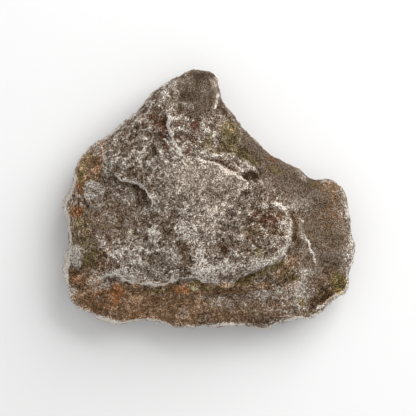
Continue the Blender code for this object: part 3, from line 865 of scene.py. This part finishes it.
# %% Marks along the rims
# How pale the lip of each rim is, and how dark its crack is painted, with dirt and painted shade.
RIM_MARKS = {
    "lobe_rim_left": (1.0, 0.2), "lobe_rim_right": (0.65, 0.8), "left_scar_rim": (1.0, 0.9),
    "peak_flake_rim": (1.9, 0.5), "layer_rim": (0.35, 0.5), "peak_slope_rim": (0.45, 0.5),
    "basin_rim": (0.2, 0.3), "corner_lip": (0.9, 0.5), "small_scar_lip": (0.8, 0.8),
}
# How pale the line along the top of each ridge is.
RIDGE_MARKS = {
    "crown_edge": 0.9, "white_scratch": 0.9, "short_seams": 0.7, "peak_edge": 0.8, "scallop": 0.7,
    "second_basin_seam": 0.9, "left_tail": 0.6, "basin_seam": 0.8, "slope_streak": 0.5,
}
LIP_OFFSET = 0.5

stray = wandering(points)
marked = []
for name, (pale, dirt_and_shade) in RIM_MARKS.items():
    corners, step, *_ = FLAKE_RIMS[name]
    marked.append((corners, stray, math.copysign(1.0, step), pale, dirt_and_shade))
for name, pale in RIDGE_MARKS.items():
    marked.append((SURFACE_LINES[name][0], 0.7 * stray, 1.0, pale, 0.0))

lip_distance = np.full(len(points), RIM_REACH)
lip_strength = np.zeros(len(points))
crack = np.zeros(len(points))
for corners, strays, high_side, pale, dirt_and_shade in marked:
    side, strength = line_profile(points, corners, strays)
    high = side * high_side
    from_lip = high - LIP_OFFSET if dirt_and_shade else high
    nearer = (np.abs(from_lip) < np.abs(lip_distance)) & (strength > 0.0)
    lip_distance = np.where(nearer, from_lip, lip_distance)
    lip_strength = np.where(nearer, pale * strength, lip_strength)
    # the foot of each wall is painted darker, for dirt and for shade
    crack = np.maximum(crack, dirt_and_shade * strength * smoothstep(1.4, 0.4, np.abs(high + LIP_PLACE)))
lip_strength *= top
print("points near a lip:", int((np.abs(lip_distance) < 1.0).sum()))

# %% [markdown]
# ## One map for how pale, others for the hue
# Every layer changes how pale the stone is, so they are added up into one tone from 0, the darkest pit,
# to 1, the whitest lichen. The hue of a stain is kept apart. That way a rust patch keeps the grain of the
# rock below it, as a real stain does.

# %% Tone
BARE_TONE = 0.44
EDGE_TONE = 1.05
# Above this tone the layers count for less, which leaves the pale grains some room.
GRAIN_ROOM = 0.74
ROOM_SHARE = 0.35
MOTTLE = ((9.0, 0.05), (3.4, 0.07), (1.5, 0.05))
# What each layer adds to the tone where it is strongest.
# Some of these darken the tone as painted shade: the hollows and the cracks in part, the shade lines and some
# dark patches.
TONE_CHANGES = {
    "lines": 1.3, "crust": 0.38, "lichen": 0.5, "scab": 0.14, "lumps": 0.14, "worn": 0.18, "hollow_dirt_and_shade": -0.18,
    "crack": -0.14, "dark": -0.2, "warm": 0.14, "rust": 0.1, "red": -0.2, "moss": -0.05, "chips": 0.5,
}
layers = {
    **stains, "lines": line_tone, "scab": (scab - 0.5) * roughness, "lumps": lumps, "worn": worn,
    "hollow_dirt_and_shade": hollow_dirt_and_shade, "crack": crack,
}
mottle = sum(share * bumps(points, size, 60 + index) for index, (size, share) in enumerate(MOTTLE))
tone = BARE_TONE + mottle * (0.3 + 0.7 * roughness)
for layer, change in TONE_CHANGES.items():
    tone += change * layers[layer]
tone = np.where(tone > GRAIN_ROOM, GRAIN_ROOM + ROOM_SHARE * (tone - GRAIN_ROOM), tone)
# the pale edge band, dust and painted light, lifts the tone
tone += edge_dust_and_painted_light * np.maximum(EDGE_TONE - tone, 0.0)
print("tone:", np.percentile(tone[top > 0.5], (5, 50, 95)).round(2))

# %% [markdown]
# The maps are stored on the mesh as attributes, which a material can read and an export can carry. Some
# steer the grains: the pale edge band of dust and painted light is calmer than the bare stone, and pits
# belong to the crust. The stains of rust and moss stay off the clean white of that band and of lichen.

# %% Stored maps
pale_crust = np.clip(stains["crust"] + stains["lichen"], 0.0, 1.0)
calm = 1.0 - 0.4 * edge_dust_and_painted_light
clean = (1.0 - edge_dust_and_painted_light) * (1.0 - stains["lichen"])
MAPS = {
    "tone": tone, "grain": roughness * calm, "fine_grain": (0.6 + 0.4 * roughness) * calm,
    "pale_crust": pale_crust * calm, "bare": (1.0 - pale_crust) * roughness * calm,
    "grey": stains["grey"], "chips": stains["chips"],
    "lip_distance": lip_distance, "lip_strength": lip_strength,
}
MAPS.update({kind: stains[kind] * clean for kind in ("warm", "rust", "red", "moss")})
for name, values in MAPS.items():
    layer = stone_mesh.attributes.new(name, "FLOAT", "POINT")
    layer.data.foreach_set("value", values.astype(np.float32))
print("stored maps:", ", ".join(MAPS))

# %% [markdown]
# ## The stone's material
# A stony meteorite is a fine-grained rock, mostly olivine and pyroxene, with an index of refraction near
# 1.6 and no metal to see once it has weathered. Its surface is rough far below what the eye can see, so
# it is matt, with hardly any shine.

# %% Matt rock
stone_material = bpy.data.materials.new("weathered_chondrite")
stone_material.use_nodes = True
tree = stone_material.node_tree
shader = tree.nodes["Principled BSDF"]
shader.inputs["IOR"].default_value = 1.6
shader.inputs["Metallic"].default_value = 0.0
shader.inputs["Roughness"].default_value = 0.85
shader.inputs["Specular IOR Level"].default_value = 0.15
place = add_node(tree, "ShaderNodeTexCoord").outputs["Object"]
stored = {
    name: add_node(tree, "ShaderNodeAttribute", {"attribute_name": name}).outputs["Fac"] for name in MAPS
}
grained = stored["tone"]
print("maps read:", len(stored))

# %% [markdown]
# The bright line on a lip is a crisp band about zero distance. One noise bends it, and a second one
# decides where it is present: a strong line is nearly whole and a weak one is broken into dashes. A
# stronger line is also wider. It is mixed in before the grains, so that they break it up like the rest of
# the stone.

# %% Bright lips
LIP_TONE = 1.06
LIP_HALF_WIDTH = 0.1
LIP_WIDENING = 0.36
LIP_SOFTNESS = 0.15
LIP_GRAIN = 1.3
LIP_BEND = 2.0
LIP_PATCH = 2.4
LIP_CUT = (1.0, 1.45)

inputs = {"Vector": place, "W": 12.0, "Scale": 1.0 / (LIP_GRAIN * MM), "Detail": 3.0}
raw = add_node(tree, "ShaderNodeTexNoise", {"noise_dimensions": "4D"}, inputs).outputs["Fac"]
inputs = {0: raw, 1: LIP_BEND, 2: stored["lip_distance"]}
bent = add_node(tree, "ShaderNodeMath", {"operation": "MULTIPLY_ADD"}, inputs).outputs[0]
centred = add_node(tree, "ShaderNodeMath", {"operation": "SUBTRACT"}, {0: bent, 1: 0.5 * LIP_BEND}).outputs[0]
gap = add_node(tree, "ShaderNodeMath", {"operation": "ABSOLUTE"}, {0: centred}).outputs[0]
inputs = {0: stored["lip_strength"], 1: -LIP_WIDENING, 2: gap}
gap = add_node(tree, "ShaderNodeMath", {"operation": "MULTIPLY_ADD"}, inputs).outputs[0]
cut = {"Value": gap, "From Min": LIP_HALF_WIDTH - LIP_SOFTNESS, "From Max": LIP_HALF_WIDTH + LIP_SOFTNESS}
cut.update({"To Min": 1.0, "To Max": 0.0})
band = add_node(tree, "ShaderNodeMapRange", {"interpolation_type": "SMOOTHSTEP"}, cut).outputs["Result"]

inputs = {"Vector": place, "W": 13.0, "Scale": 1.0 / (LIP_PATCH * MM), "Detail": 3.0}
raw = add_node(tree, "ShaderNodeTexNoise", {"noise_dimensions": "4D"}, inputs).outputs["Fac"]
inputs = {0: raw, 1: stored["lip_strength"]}
together = add_node(tree, "ShaderNodeMath", {"operation": "ADD"}, inputs).outputs[0]
cut = {"Value": together, "From Min": LIP_CUT[0], "From Max": LIP_CUT[1]}
present = add_node(tree, "ShaderNodeMapRange", {"interpolation_type": "SMOOTHSTEP"}, cut).outputs["Result"]

lip = add_node(tree, "ShaderNodeMath", {"operation": "MULTIPLY"}, {0: band, 1: present}).outputs[0]
missing = add_node(tree, "ShaderNodeMath", {"operation": "SUBTRACT"}, {0: LIP_TONE, 1: grained}).outputs[0]
inputs = {0: lip, 1: missing, 2: grained}
grained = add_node(tree, "ShaderNodeMath", {"operation": "MULTIPLY_ADD"}, inputs).outputs[0]
print("lip line:", round(2 * (LIP_HALF_WIDTH + LIP_WIDENING), 2), "mm wide at full strength")

# %% [markdown]
# The grains of the rock are 0.4 to 2 mm wide, and they are crisp: each is either pale or dark. Plain
# noise is cloudy and would look like a blurred stone. So each size of grain is a noise that is cut off
# steeply on both sides before it is added to the tone.

# %% Grains
# Each grain's size in millimetres, detail, the noise levels it is cut off at, the change of tone at each
# of them, and the map that it follows. The ridges are thin: there the noise is its distance from its
# mean.
GRAINS = (
    ("speckle", 0.5, 1.0, 0.38, 0.62, -0.29, 0.29, "fine_grain"),
    ("crumbs", 1.4, 3.0, 0.46, 0.54, -0.07, 0.07, "grain"),
    ("ridges", 2.0, 2.0, 0.01, 0.05, 0.16, 0.0, "grain"),
    ("pits", 0.9, 0.0, 0.64, 0.70, 0.0, -0.4, "pale_crust"),
    ("flecks", 1.0, 1.0, 0.64, 0.68, 0.0, 0.26, "bare"),
)
GRAIN_ROUGHNESS = 0.65

levels = {}
for seed, (name, size, detail, low, high, at_low, at_high, follows) in enumerate(GRAINS):
    inputs = {"Vector": place, "W": 1.0 + seed, "Scale": 1.0 / (size * MM), "Detail": detail}
    inputs["Roughness"] = GRAIN_ROUGHNESS
    raw = add_node(tree, "ShaderNodeTexNoise", {"noise_dimensions": "4D"}, inputs).outputs["Fac"]
    if name == "ridges":
        off_mean = add_node(tree, "ShaderNodeMath", {"operation": "SUBTRACT"}, {0: raw, 1: 0.5}).outputs[0]
        raw = add_node(tree, "ShaderNodeMath", {"operation": "ABSOLUTE"}, {0: off_mean}).outputs[0]
    cut = {"Value": raw, "From Min": low, "From Max": high, "To Min": at_low, "To Max": at_high}
    level = add_node(tree, "ShaderNodeMapRange", {"interpolation_type": "SMOOTHSTEP"}, cut).outputs["Result"]
    levels[name] = level
    inputs = {0: level, 1: stored[follows], 2: grained}
    grained = add_node(tree, "ShaderNodeMath", {"operation": "MULTIPLY_ADD"}, inputs).outputs[0]
print("grains:", ", ".join(levels))

# %% [markdown]
# The finished tone goes through a ramp of rock colours, warm brown where it is dark and a chalky grey
# where it is pale.

# %% Rock colours
ROCK_TINTS = (
    (0.0, "#2f1602"), (0.2, "#533820"), (0.4, "#725a43"), (0.6, "#8f7f6f"),
    (0.8, "#aea296"), (0.9, "#c6bbae"), (1.0, "#f8f0e5"),
)
ramp = add_node(tree, "ShaderNodeValToRGB", None, {"Fac": grained})
stops = ramp.color_ramp.elements
while len(stops) < len(ROCK_TINTS):
    stops.new(0.5)
for stop, (at, tint) in zip(stops, ROCK_TINTS, strict=True):
    stop.position = at
    stop.color = linear_colour(tint)
colour = ramp.outputs["Color"]
print("rock colours:", len(stops))

# %% [markdown]
# The stains then change only the hue. Mix's Color mode keeps how light each grain is, where a plain Mix
# would paint the grains over. They too are cut off by noise, so that they end in flecks, and they hold on
# to the dark grains more than to the pale ones, which are clean crust.

# %% Stain colours
# Each stain's map, tint, share and how much of it a pale grain loses.
STAIN_TINTS = (
    ("grey", "#625950", 0.6, 0.6), ("warm", "#7b5a3a", 0.7, 0.6), ("red", "#6a3e2c", 0.8, 1.1),
    ("rust", "#9c6434", 0.9, 0.6), ("moss", "#6c5d38", 0.85, 0.6),
)
CREAM_TINT = "#d9cfa6"
STAIN_GRAIN = 2.6
STAIN_CUT = (0.22, 0.95)
# The places of a Mix node's colour sockets: the factor, the two colours, and the result among the
# outputs.
FACTOR, FIRST, SECOND, RESULT = 0, 6, 7, 2

keep_lightness = {"data_type": "RGBA", "blend_type": "COLOR"}
for seed, (name, tint, share, loss) in enumerate(STAIN_TINTS):
    inputs = {"Vector": place, "W": 20.0 + seed, "Scale": 1.0 / (STAIN_GRAIN * MM), "Detail": 4.0}
    raw = add_node(tree, "ShaderNodeTexNoise", {"noise_dimensions": "4D"}, inputs).outputs["Fac"]
    together = add_node(tree, "ShaderNodeMath", {"operation": "ADD"}, {0: raw, 1: stored[name]}).outputs[0]
    inputs = {0: grained, 1: -loss, 2: together}
    together = add_node(tree, "ShaderNodeMath", {"operation": "MULTIPLY_ADD"}, inputs).outputs[0]
    cut = {"Value": together, "From Min": STAIN_CUT[0], "From Max": STAIN_CUT[1], "To Max": share}
    amount = add_node(tree, "ShaderNodeMapRange", {"interpolation_type": "SMOOTHSTEP"}, cut).outputs["Result"]
    inputs = {FACTOR: amount, FIRST: colour, SECOND: linear_colour(tint)}
    colour = add_node(tree, "ShaderNodeMix", keep_lightness, inputs).outputs[RESULT]
inputs = {FACTOR: stored["chips"], FIRST: colour, SECOND: linear_colour(CREAM_TINT)}
colour = add_node(tree, "ShaderNodeMix", keep_lightness, inputs).outputs[RESULT]
tree.links.new(colour, shader.inputs["Base Color"])
print("stain colours:", len(STAIN_TINTS) + 1)

# %% [markdown]
# The relief is real down to about a millimetre. Below that the grains only tilt the light a little, which
# a bump does well, and its height is the same noise as the grains.

# %% Grain bump
BUMP_STRENGTH = 0.8
BUMP_HEIGHT = 1.2

grain_sum = {0: levels["speckle"], 1: levels["crumbs"]}
height = add_node(tree, "ShaderNodeMath", {"operation": "ADD"}, grain_sum).outputs[0]
inputs = {"Strength": BUMP_STRENGTH, "Distance": BUMP_HEIGHT * MM, "Height": height}
bump = add_node(tree, "ShaderNodeBump", None, inputs)
tree.links.new(bump.outputs["Normal"], shader.inputs["Normal"])
print("nodes in the stone's material:", len(tree.nodes))

# %% [markdown]
# ## The finished piece
# The stone rides on the frame's one body and stands in for the plain block. Smooth shading hides the
# mesh's squares, and the rims stay crisp, because they are steep in the mesh itself.

# %% Finished piece
stone_mesh.materials.clear()
stone_mesh.materials.append(stone_material)
stone_mesh.shade_smooth()
stone = bpy.data.objects.new("weathered_meteorite", stone_mesh)
scene.collection.objects.link(stone)
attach(stone, "root")
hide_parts("meteorite")
print("stone:", sum(len(face.vertices) - 2 for face in stone_mesh.polygons), "triangles")
